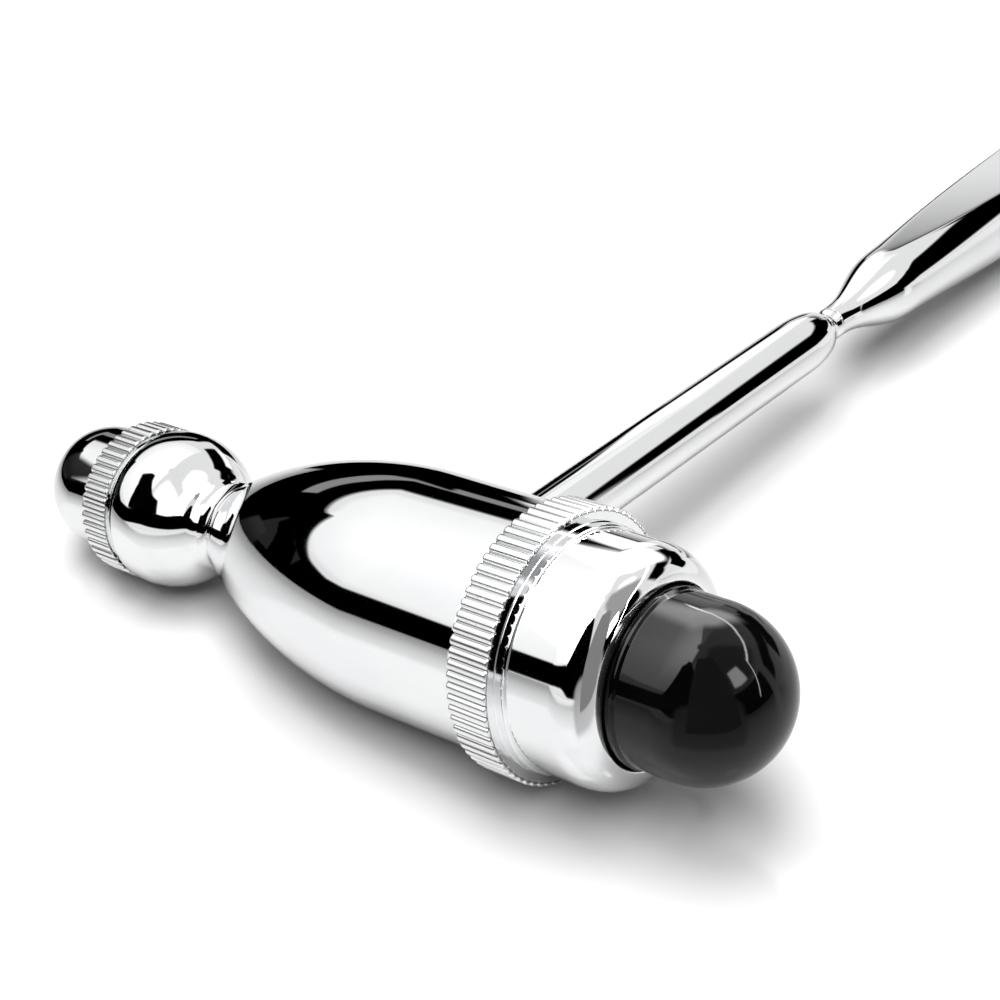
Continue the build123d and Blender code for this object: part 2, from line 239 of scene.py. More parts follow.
def noise(nodes, links, vector, scale, detail, roughness=0.5):
    # a cloudy pattern between 0 and 1
    texture = nodes.new("ShaderNodeTexNoise")
    texture.inputs["Scale"].default_value = scale
    texture.inputs["Detail"].default_value = detail
    texture.inputs["Roughness"].default_value = roughness
    links.new(vector, texture.inputs["Vector"])
    return texture.outputs["Fac"]


def remap(nodes, links, value, low, high, toLow, toHigh):
    # a value between low and high becomes one between toLow and toHigh, and stays within them
    node = nodes.new("ShaderNodeMapRange")
    for i, number in enumerate((low, high, toLow, toHigh)):
        node.inputs[i + 1].default_value = number
    links.new(value, node.inputs[0])
    return node.outputs[0]


def calculate(nodes, links, operation, *values):
    # one step of arithmetic, on numbers or on other nodes' outputs
    node = nodes.new("ShaderNodeMath")
    node.operation = operation
    for i, value in enumerate(values):
        if isinstance(value, (int, float)):
            node.inputs[i].default_value = value
        else:
            links.new(value, node.inputs[i])
    return node.outputs[0]


def blendColours(nodes, links, share, first, second):
    # each colour is three numbers or another node's output
    node = nodes.new("ShaderNodeMix")
    node.data_type = "RGBA"
    for socket, colour in zip((node.inputs[6], node.inputs[7]), (first, second)):
        if isinstance(colour, tuple):
            socket.default_value = (*colour, 1)
        else:
            links.new(colour, socket)
    links.new(share, node.inputs[0])
    return node.outputs[2]


def addBump(nodes, links, shader, height, distance, strength):
    # the surface's light follows the height, whose full swing is the distance in metres
    bump = nodes.new("ShaderNodeBump")
    bump.inputs["Distance"].default_value = distance
    bump.inputs["Strength"].default_value = strength
    links.new(height, bump.inputs["Height"])
    links.new(bump.outputs["Normal"], shader.inputs["Normal"])


chromeFinish = {"colour": (0.93, 0.935, 0.94), "haze": (0.86, 0.865, 0.88), "polish": 0.018, "smear": 0.055,
                "smearScale": 42.0, "smearStretch": 1.9, "lineScale": 60.0, "lineStretch": 60.0,
                "lineSpread": 2.0, "lineRough": 0.012, "waveScale": 28.0, "wave": 0.00001,
                "waveStrength": 0.06}
# the knurl's satin plating, and painted shade: a dark colour laid on the foot of each groove, where shade
# falls
knurlFinishAndShade = {"colour": (0.90, 0.905, 0.91), "groove": (0.15, 0.15, 0.16), "rough": 0.16, "foot": 0.02,
               "fade": 0.06, "shade": 0.4}


def knurlPlatingAndShade(nodes, links, colour, rough, knurlRadii):
    # beyond the first of two radii the plating is the knurl's: satin, with painted shade that darkens the
    # foot of each groove
    f = knurlFinishAndShade
    bottom, top = knurlRadii
    shadeTop = bottom + f["shade"] * (top - bottom)
    split = nodes.new("ShaderNodeSeparateXYZ")
    links.new(spot(nodes, links, (1, 1, 1), (0, 0, 0)), split.inputs[0])
    squares = [calculate(nodes, links, "MULTIPLY", split.outputs[i], split.outputs[i]) for i in (1, 2)]
    radius = calculate(nodes, links, "SQRT", calculate(nodes, links, "ADD", *squares))
    inKnurl = remap(nodes, links, radius, (bottom - f["fade"]) * mm, bottom * mm, 0, 1)
    # painted shade: the colour runs from the dark groove colour at the grooves' foot to the plating's own at
    # shadeTop
    height = remap(nodes, links, radius, bottom * mm, shadeTop * mm, 0, 1)
    knurlShaded = blendColours(nodes, links, height, f["groove"], f["colour"])
    satin = calculate(nodes, links, "MULTIPLY", inKnurl, f["rough"])
    return blendColours(nodes, links, inKnurl, colour, knurlShaded), calculate(nodes, links, "ADD", rough, satin)


def chromeMaterial(name, along, place, knurlRadii=None):
    # polished plating: a mirror with faint smears from wiping, fine polishing lines round the axis, and the
    # slightest waviness
    f = chromeFinish
    material, nodes, links, shader = newMaterial(name)
    smearShape = [1.0 if axis == along else f["smearStretch"] for axis in "xyz"]
    lineShape = [f["lineStretch"] if axis == along else f["lineSpread"] for axis in "xyz"]
    smears = noise(nodes, links, spot(nodes, links, smearShape, place), f["smearScale"], 5, 0.6)
    lines = noise(nodes, links, spot(nodes, links, lineShape, place), f["lineScale"], 3)
    haze = remap(nodes, links, smears, 0.45, 0.8, 0, 1)
    colour = blendColours(nodes, links, haze, f["colour"], f["haze"])
    wiped = remap(nodes, links, smears, 0.4, 0.85, f["polish"], f["smear"])
    fine = remap(nodes, links, lines, 0.3, 0.8, 0, f["lineRough"])
    rough = calculate(nodes, links, "ADD", wiped, fine)
    # on a knurled ring, painted shade darkens the foot of each groove
    if knurlRadii:
        colour, rough = knurlPlatingAndShade(nodes, links, colour, rough, knurlRadii)
    links.new(rough, shader.inputs["Roughness"])
    links.new(colour, shader.inputs["Base Color"])
    shader.inputs["Metallic"].default_value = 1.0
    waves = noise(nodes, links, spot(nodes, links, (1, 1, 1), place), f["waveScale"], 1)
    addBump(nodes, links, shader, waves, f["wave"], f["waveStrength"])
    return material


rubberFinish = {"colour": (0.0012, 0.0012, 0.0013), "bloom": (0.004, 0.004, 0.0043), "rough": 0.05,
                "dull": 0.1, "index": 1.36, "patchScale": 95.0, "patchPlace": (3.1, 0.4, 1.7),
                "grainScale": 2600.0, "grainPlace": (0.2, 2.2, 0.9), "grain": 0.000006,
                "grainStrength": 0.12}


def rubberMaterial():
    # moulded black rubber with a gloss skin: a little bloom in patches and a very fine grain
    f = rubberFinish
    material, nodes, links, shader = newMaterial("glossyRubber")
    patches = noise(nodes, links, spot(nodes, links, (1, 1, 1), f["patchPlace"]), f["patchScale"], 6, 0.62)
    share = remap(nodes, links, patches, 0.42, 0.78, 0, 1)
    links.new(blendColours(nodes, links, share, f["colour"], f["bloom"]), shader.inputs["Base Color"])
    links.new(remap(nodes, links, patches, 0.4, 0.85, f["rough"], f["dull"]), shader.inputs["Roughness"])
    shader.inputs["IOR"].default_value = f["index"]
    grain = noise(nodes, links, spot(nodes, links, (1, 1, 1), f["grainPlace"]), f["grainScale"], 2)
    addBump(nodes, links, shader, grain, f["grain"], f["grainStrength"])
    return material


steelFinish = {"colour": (0.56, 0.565, 0.58), "worn": (0.70, 0.70, 0.70), "rough": 0.24, "dull": 0.42,
               "mottleScale": 240.0, "mottlePlace": (0.3, 0.8, 0.1), "ringScale": 142.857, "ringWander": 0.4,
               "ringDepth": 0.000012, "ringStrength": 0.5}


def steelMaterial():
    # turned steel inside the head: tool rings along the axis, 2.2 mm apart, under an uneven grey
    f = steelFinish
    material, nodes, links, shader = newMaterial("turnedSteel")
    mottle = noise(nodes, links, spot(nodes, links, (1, 1, 1), f["mottlePlace"]), f["mottleScale"], 5, 0.6)
    links.new(blendColours(nodes, links, mottle, f["colour"], f["worn"]), shader.inputs["Base Color"])
    links.new(remap(nodes, links, mottle, 0.3, 0.8, f["rough"], f["dull"]), shader.inputs["Roughness"])
    shader.inputs["Metallic"].default_value = 1.0
    rings = nodes.new("ShaderNodeTexWave")
    rings.wave_type, rings.bands_direction = "BANDS", "X"
    rings.inputs["Scale"].default_value = f["ringScale"]
    rings.inputs["Distortion"].default_value = f["ringWander"]
    links.new(spot(nodes, links, (1, 1, 1), (0, 0, 0)), rings.inputs["Vector"])
    addBump(nodes, links, shader, rings.outputs["Fac"], f["ringDepth"], f["ringStrength"])
    return material


headChrome = chromeMaterial("headChrome", "x", (0.7, 1.3, 2.1))
handleChrome = chromeMaterial("handleChrome", "y", (2.6, 0.5, 1.1))
rubber = rubberMaterial()
steel = steelMaterial()
print("finishes ready")

barrelSizes = {"roundX": -1.8, "arcRadius": 58.0, "tailRadius": 6.0, "tailRound": 0.25, "frontRound": 0.5,
               "seam": 0.4, "spigotRadius": 11.82, "spigotRound": 0.5, "reliefLength": 0.7,
               "reliefDepth": 0.35, "reliefRound": 0.1, "reliefSlope": 0.2}
barrelThread = {"pitch": 1.0, "depth": 0.5, "runOut": 0.5, "sharpness": 0.8, "steps": 14}


def makeBarrel():
    # a flat tail, one long arc up to the full radius, a cylinder, then the threaded spigot under the cap
    s = barrelSizes
    low, high = nodeBox("head_barrel")
    radius, frontX = high[1], nodeBox("large_cap")[0][0] - s["seam"]
    tailAngle = 90 + np.degrees(np.arcsin((s["roundX"] - low[0]) / s["arcRadius"]))
    arc = arcPoints((s["roundX"], radius - s["arcRadius"]), s["arcRadius"], tailAngle, 90, 72)
    reliefRadius = s["spigotRadius"] - s["reliefDepth"]
    threadStart, threadEnd = frontX + s["reliefLength"], high[0] - s["spigotRound"]
    pitchStep = barrelThread["pitch"] / barrelThread["steps"]
    along = np.arange(threadStart + s["reliefSlope"] / 2, threadEnd, pitchStep)
    corners = [
        (low[0], 0, 0), (low[0], s["tailRadius"], s["tailRound"]), *arc[1:],
        (frontX, radius, s["frontRound"]),
        (frontX, reliefRadius, s["reliefRound"]),
        (threadStart - s["reliefSlope"], reliefRadius, s["reliefRound"]),
        *[(x, s["spigotRadius"], 0) for x in along],
        (high[0], s["spigotRadius"], s["spigotRound"]), (high[0], 0, 0),
    ]
    thread = threadCut(barrelThread, s["spigotRadius"], threadStart, threadEnd)
    return gridPiece("barrelSkin", turnedGrid(roundCorners(corners), roundSteps, thread))


dress(makeBarrel(), "head_barrel", "handle_and_head", headChrome)

collarSizes = {"waistRadius": 5.45, "barrelRadius": 5.8, "cupRadius": 5.7, "boreRadius": 2.6,
               "boreRound": 0.1, "rimRound": 0.12}


def makeCollar():
    # a ring whose outside dips by a parabola between the cup's neck and the barrel's tail
    s = collarSizes
    low, high = nodeBox("neck_collar")
    t = np.linspace(0, 1, 25)
    ends = s["cupRadius"] + (s["barrelRadius"] - s["cupRadius"]) * t
    dip = ends - ((s["cupRadius"] + s["barrelRadius"]) / 2 - s["waistRadius"]) * 4 * t * (1 - t)
    outside = [(low[0] + (high[0] - low[0]) * u, r, 0) for u, r in zip(t[1:-1], dip[1:-1])]
    corners = [
        (low[0], s["boreRadius"], s["boreRound"]), (low[0], s["cupRadius"], s["rimRound"]), *outside,
        (high[0], s["barrelRadius"], s["rimRound"]), (high[0], s["boreRadius"], s["boreRound"]),
    ]
    grid = turnedGrid(roundCorners(corners, closed=True), roundSteps // 2)
    return gridPiece("collarSkin", grid, closed=True)


dress(makeCollar(), "neck_collar", "handle_and_head", headChrome)

cupSizes = {"radius": 10.0, "rimLength": 1.5, "rimRound": 0.35, "neckRadius": 5.5, "neckLength": 1.3,
            "neckFillet": 3.0, "waist": 4.7, "grooveRadius": 8.6, "grooveRound": 0.2, "seam": 0.4,
            "spigotRadius": 6.27, "spigotRound": 0.4, "footRound": 0.1, "threadFrom": 0.6, "threadTo": 0.3}
cupThread = {"pitch": 1.0, "depth": 0.45, "runOut": 0.5, "sharpness": 0.8, "steps": 14}


def makeCup():
    # a threaded spigot, a boss, then the ball cut off at its rim and run into its neck by a fillet
    s = cupSizes
    low, high = nodeBox("small_cup")
    centreX = high[0] - s["neckLength"] - np.sqrt(s["radius"] ** 2 - s["neckRadius"] ** 2)
    ringX = nodeBox("small_cap")[1][0] + s["seam"]
    rimX = centreX - s["rimLength"]
    filletReach = s["waist"] + s["neckFillet"]
    filletX = centreX + np.sqrt((s["radius"] + s["neckFillet"]) ** 2 - filletReach ** 2)
    touch = np.degrees(np.arctan2(filletReach, filletX - centreX))
    lastAngle = 270 - np.degrees(np.arcsin((filletX - high[0]) / s["neckFillet"]))
    rimAngle = 90 + np.degrees(np.arcsin(s["rimLength"] / s["radius"]))
    pitchStep = cupThread["pitch"] / cupThread["steps"]
    along = np.arange(low[0] + s["threadFrom"], ringX - s["threadTo"], pitchStep)
    corners = [
        (low[0], 0, 0), (low[0], s["spigotRadius"], s["spigotRound"]),
        *[(x, s["spigotRadius"], 0) for x in along],
        (ringX, s["spigotRadius"], s["footRound"]), (ringX, s["grooveRadius"], s["grooveRound"]),
        (rimX, s["grooveRadius"], s["grooveRound"]),
        (rimX, s["radius"] * np.sin(np.radians(rimAngle)), s["rimRound"]),
        *arcPoints((centreX, 0), s["radius"], rimAngle, touch, 60)[2:],
        *arcPoints((filletX, filletReach), s["neckFillet"], 180 + touch, lastAngle, 14)[1:],
        (high[0], 0, 0),
    ]
    thread = threadCut(cupThread, s["spigotRadius"], low[0], ringX)
    return gridPiece("cupSkin", turnedGrid(roundCorners(corners), roundSteps, thread))


dress(makeCup(), "small_cup", "handle_and_head", headChrome)

largeCapSizes = {"ringRadius": 15.75, "ringWidth": 5.3, "bodyRadius": 13.8, "shoulderLength": 4.4,
                 "stepHeight": 0.3, "stepLength": 1.1, "lipRadius": 10.25, "lipLength": 3.4, "lipRound": 0.3,
                 "boreRadius": 11.9, "edge": 0.25, "rootRound": 0.15}
largeKnurl = {"teeth": 72, "depth": 0.5, "power": 3, "reach": 0.9, "steps": 10}
smallCapSizes = {"ringRadius": 9.9, "ringWidth": 4.2, "bodyRadius": 7.95, "shoulderLength": 5.8,
                 "stepHeight": 0.25, "stepLength": 0.6, "lipRadius": 4.35, "lipLength": 3.4, "lipRound": 0.2,
                 "boreRadius": 6.35, "edge": 0.25, "rootRound": 0.1}
smallKnurl = {"teeth": 48, "depth": 0.45, "power": 3, "reach": 0.8, "steps": 10}


def knurlRadii(sizes, knurl):
    # the radius just above the grooves' foot, and the ring's own
    return sizes["ringRadius"] - knurl["depth"] + knurlFinishAndShade["foot"], sizes["ringRadius"]


def makeCap(name, node, sizes, knurl, pointing):
    # the cap's half section carried round the head's axis, with its knurl cut into the ring
    low, high = nodeBox(node)
    ringX, faceX = (low[0], high[0]) if pointing > 0 else (high[0], low[0])
    outline = capOutline(sizes, ringX, faceX, pointing)
    grid = turnedGrid(outline, knurl["teeth"] * knurl["steps"], knurlCut(knurl, sizes["ringRadius"]))
    return gridPiece(name, grid, closed=True)


largeCapChrome = chromeMaterial("largeCapChrome", "x", (1.9, 0.2, 0.6),
                                knurlRadii(largeCapSizes, largeKnurl))
smallCapChrome = chromeMaterial("smallCapChrome", "x", (0.4, 2.9, 1.6),
                                knurlRadii(smallCapSizes, smallKnurl))
dress(makeCap("largeCapSkin", "large_cap", largeCapSizes, largeKnurl, 1), "large_cap", "large_cap",
      largeCapChrome)
dress(makeCap("smallCapSkin", "small_cap", smallCapSizes, smallKnurl, -1), "small_cap", "small_cap",
      smallCapChrome)

largeBufferSizes = {"radius": 9.9, "rootRadius": 10.1, "rootLength": 0.8, "rootTaper": 0.4, "flange": 3.0,
                    "flangeRound": 0.3, "footRound": 0.2, "rootRound": 0.25, "taperRound": 0.3}
smallBufferSizes = {"radius": 4.2, "flange": 2.7, "flangeRound": 0.25, "footRound": 0.15}


def makeLargeBuffer():
    # a flange under the cap, a slightly wider root outside it, a cylinder and a half-round end
    s = largeBufferSizes
    low, high = nodeBox("large_buffer")
    faceX = nodeBox("large_cap")[1][0]
    domeX, rootX = high[0] - s["radius"], faceX + s["rootLength"]
    flangeX = low[0] + s["flange"]
    corners = [
        (low[0], 0, 0), (low[0], high[1], s["flangeRound"]), (flangeX, high[1], s["flangeRound"]),
        (flangeX, s["rootRadius"], s["footRound"]), (rootX, s["rootRadius"], s["rootRound"]),
        (rootX + s["rootTaper"], s["radius"], s["taperRound"]),
        *arcPoints((domeX, 0), s["radius"], 90, 0, 60),
    ]
    return gridPiece("largeBufferSkin", turnedGrid(roundCorners(corners), roundSteps))


def makeSmallBuffer():
    # a flange under the cap, and a short cylinder with a half-round end that just leaves the opening
    s = smallBufferSizes
    low, high = nodeBox("small_buffer")
    flangeX, domeX = high[0] - s["flange"], low[0] + s["radius"]
    corners = [
        *arcPoints((domeX, 0), s["radius"], 180, 90, 30),
        (flangeX, s["radius"], s["footRound"]), (flangeX, high[1], s["flangeRound"]),
        (high[0], high[1], s["flangeRound"]), (high[0], 0, 0),
    ]
    return gridPiece("smallBufferSkin", turnedGrid(roundCorners(corners), roundSteps // 2))


dress(makeLargeBuffer(), "large_buffer", "large_tip", rubber)
dress(makeSmallBuffer(), "small_buffer", "small_tip", rubber)
print("head built")

shaftSizes = {"threadRadius": 3.0, "threadRound": 0.4, "seatY": 12.3, "seatRound": 0.3, "footRound": 0.1,
              "noseLength": 7.0, "noseRadius": 2.3, "noseRound": 0.2}


def makeShaft():
    # a bar with a thinner end inside the barrel, and a nose that rounds down to the neck by an ellipse
    s = shaftSizes
    low, high = nodeBox("handle_shaft")
    radius, noseY = high[0], high[1] - s["noseLength"]
    turn = np.radians(np.linspace(0, 90, 30))
    nose = [(noseY + s["noseLength"] * np.sin(a), radius - (radius - s["noseRadius"]) * (1 - np.cos(a)), 0)
            for a in turn]
    corners = [
        (low[1], 0, 0), (low[1], s["threadRadius"], s["threadRound"]),
        (s["seatY"], s["threadRadius"], s["footRound"]), (s["seatY"], radius, s["seatRound"]), *nose[:-1],
        (high[1], s["noseRadius"], s["noseRound"]), (high[1], 0, 0),
    ]
    return gridPiece("shaftSkin", turnedGrid(roundCorners(corners), roundSteps // 2, axis="y"))


neckSizes = {"radius": 2.25, "waist": 0.3, "endRound": 0.2, "steps": 96}


def makeNeck():
    # the stud between shaft and grip: where it shows it is as thick as their noses, drawn in at its middle
    s = neckSizes
    low, high = nodeBox("grip_stud")
    shaftEnd, gripStart = nodeBox("handle_shaft")[1][1], nodeBox("grip")[0][1]
    middle = np.linspace(0, 1, 25)
    shown = s["radius"] - s["waist"] * np.sin(np.pi * middle) ** 2
    corners = [
        (low[1], 0, 0), (low[1], high[0], s["endRound"]), (shaftEnd, high[0], 0),
        *zip(shaftEnd + (gripStart - shaftEnd) * middle, shown, 0 * middle),
        (gripStart, high[0], 0), (high[1], high[0], s["endRound"]), (high[1], 0, 0),
    ]
    return gridPiece("neckSkin", turnedGrid(roundCorners(corners), s["steps"], axis="y"))


gripSizes = {"noseLength": 14.5, "noseBlend": 17.0, "noseRadius": 2.3, "startWidth": 10.6, "endWidth": 18.0,
             "flatShare": 0.84, "flatLeast": 0.04, "flatStart": 10.0, "flatGrowth": 17.0, "tailLength": 9.0,
             "edgeLength": 3.5, "crispness": 46, "rowSpread": 1.4, "cornerCrowd": 1.8}


def makeGrip():
    # each section is where two flats and two round sides meet, as a smooth least of their distances from
    # the axis; the sides are arcs through the flat's edge and the widest point. Towards the rear end the
    # width closes by a half ellipse, and the thickness by a shorter one
    s = gripSizes
    low, high = nodeBox("grip")
    length, thick = high[1] - low[1], high[2]
    tailStart = length - s["tailLength"]
    spread = np.linspace(0, 1, 110, endpoint=False) ** s["rowSpread"]
    body = np.concatenate([
        np.linspace(0, s["noseLength"], 60, endpoint=False),
        s["noseLength"] + (tailStart - s["noseLength"]) * spread,
        tailStart + s["tailLength"] * np.sin(np.linspace(0, np.pi / 2, 48)),
    ])[:, None]
    swell = smoother(body / s["noseBlend"])
    halfThick = s["noseRadius"] + (thick - s["noseRadius"]) * swell
    growth = np.clip((body - s["noseLength"]) / (length - s["noseLength"]), 0, 1)
    fullWidth = s["startWidth"] + (s["endWidth"] - s["startWidth"]) * growth
    halfWidth = s["noseRadius"] + (fullWidth / 2 - s["noseRadius"]) * swell
    opening = np.clip(body - s["flatStart"], 0, None) / s["flatGrowth"]
    share = np.maximum(s["flatShare"] * (1 - np.exp(-opening)), s["flatLeast"])
    inTail = np.clip((body - tailStart) / s["tailLength"], 0, 1)
    inEdge = np.clip((body - length + s["edgeLength"]) / s["edgeLength"], 0, 1)
    halfWidth = halfWidth * np.sqrt(np.maximum(1 - inTail ** 2, 1e-6))
    halfThick = halfThick * np.sqrt(np.maximum(1 - inEdge ** 2, 1e-6))
    halfFlat = share * halfWidth
    centre = (halfWidth ** 2 - halfFlat ** 2 - halfThick ** 2) / (2 * (halfWidth - halfFlat))
    arcRadius = halfWidth - centre
    corner = np.arctan2(halfThick, halfFlat)
    quarter = np.linspace(0, 1, 28, endpoint=False)[None, :]
    side = corner * (1 - (1 - quarter) ** s["cornerCrowd"])
    top = corner + (np.pi / 2 - corner) * quarter ** s["cornerCrowd"]
    upright = np.full_like(corner, np.pi / 2)
    half = np.concatenate([side, top, upright, np.pi - top[:, :0:-1], np.pi - side[:, :0:-1]], 1)
    angle = np.concatenate([half, half + np.pi], 1)
    c, z = np.abs(np.cos(angle)), np.abs(np.sin(angle))
    toArc = centre * c + np.sqrt(np.maximum(arcRadius ** 2 - (centre * z) ** 2, 0))
    toFlat = halfThick / np.maximum(z, 1e-6)
    least = np.minimum(toArc, toFlat)
    p = s["crispness"]
    reach = least * ((least / toArc) ** p + (least / toFlat) ** p) ** (-1 / p)
    grid = np.stack([reach * np.cos(angle), low[1] + body + 0 * angle, reach * np.sin(angle)], 2)
    grid = np.concatenate([grid[:1] * [0, 1, 0], grid[:, ::-1], grid[-1:] * [0, 1, 0]])
    return gridPiece("gripSkin", grid)


dress(makeShaft(), "handle_shaft", "handle_and_head", handleChrome)
dress(makeNeck(), "grip_stud", "handle_and_head", handleChrome)
dress(makeGrip(), "grip", "handle_and_head", handleChrome)
for node in ("neck_stud", "handle_lock_screw", "large_backing_disc", "small_backing_disc"):
    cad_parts[node].data.materials.clear()
    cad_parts[node].data.materials.append(steel)
print("handle built")

viewpoint = {"place": (142.47, -140.34, 119.20), "yaw": 43.01, "pitch": 28.27, "roll": -7.05, "lens": 73.24,
             "sensor": 36, "near": 0.005, "far": 20}


def addCamera():
    # it looks along its yaw, from Y towards -X, and its pitch, downwards, and then rolls about that line
    v = viewpoint
    camera = bpy.data.objects.new("camera", bpy.data.cameras.new("camera"))
    scene.collection.objects.link(camera)
    yaw, pitch, roll = (np.radians(v[k]) for k in ("yaw", "pitch", "roll"))
    ahead = Vector((-np.sin(yaw) * np.cos(pitch), np.cos(yaw) * np.cos(pitch), -np.sin(pitch)))
    level = ahead.cross(Vector((0, 0, 1))).normalized()
    upright = level.cross(ahead)
    right = level * np.cos(roll) + upright * np.sin(roll)
    up = upright * np.cos(roll) - level * np.sin(roll)
    rows = [(right[i], up[i], -ahead[i], v["place"][i] * mm) for i in range(3)]
    camera.matrix_world = Matrix([*rows, (0, 0, 0, 1)])
    camera.data.lens, camera.data.sensor_width = v["lens"], v["sensor"]
    camera.data.clip_start, camera.data.clip_end = v["near"], v["far"]
    scene.camera = camera


addCamera()


def restingPlane(names):
    # the plane under the object: through the lowest point of each of three pieces, found again and again,
    # because a new plane can have other lowest points
    clouds = []
    for name in names:
        mesh = bpy.data.objects[name].data
        points = np.zeros(len(mesh.vertices) * 3, np.float32)
        mesh.vertices.foreach_get("co", points)
        clouds.append(points.reshape(-1, 3))
    up = np.array([0.0, 0.0, 1.0])
    for _ in range(12):
        contacts = [cloud[np.argmin(cloud @ up)] for cloud in clouds]
        up = np.cross(contacts[1] - contacts[0], contacts[2] - contacts[0])
        up = up / np.linalg.norm(up) * np.sign(up[2])
    return contacts, up


contacts, up = restingPlane(["largeCapSkin", "smallCapSkin", "gripSkin"])
print("rests on", [np.round(c / mm, 2).tolist() for c in contacts], "up", np.round(up, 4).tolist())

studio = {"floorRadius": 3.0, "innerRing": 0.05, "floorRings": 24, "floorSides": 96, "floorColour": 0.96,
          "floorInMetal": 0.80, "floorGlow": 0.02, "farGlow": 1.0, "glowStart": 0.12, "glowEnd": 1.3,
          "floorRough": 0.12, "floorGloss": 0.4, "world": 0.27, "toEye": 0.73, "toMetal": 0.55,
          "cardColumns": 120, "cardRows": 40}
lamps = {
    "keyLamp": {"azimuth": 170, "height": 84, "distance": 2.0, "size": 1.3, "energy": 26.0},
    "fillLamp": {"azimuth": 312, "height": 60, "distance": 2.0, "size": 1.3, "energy": 20.5},
}

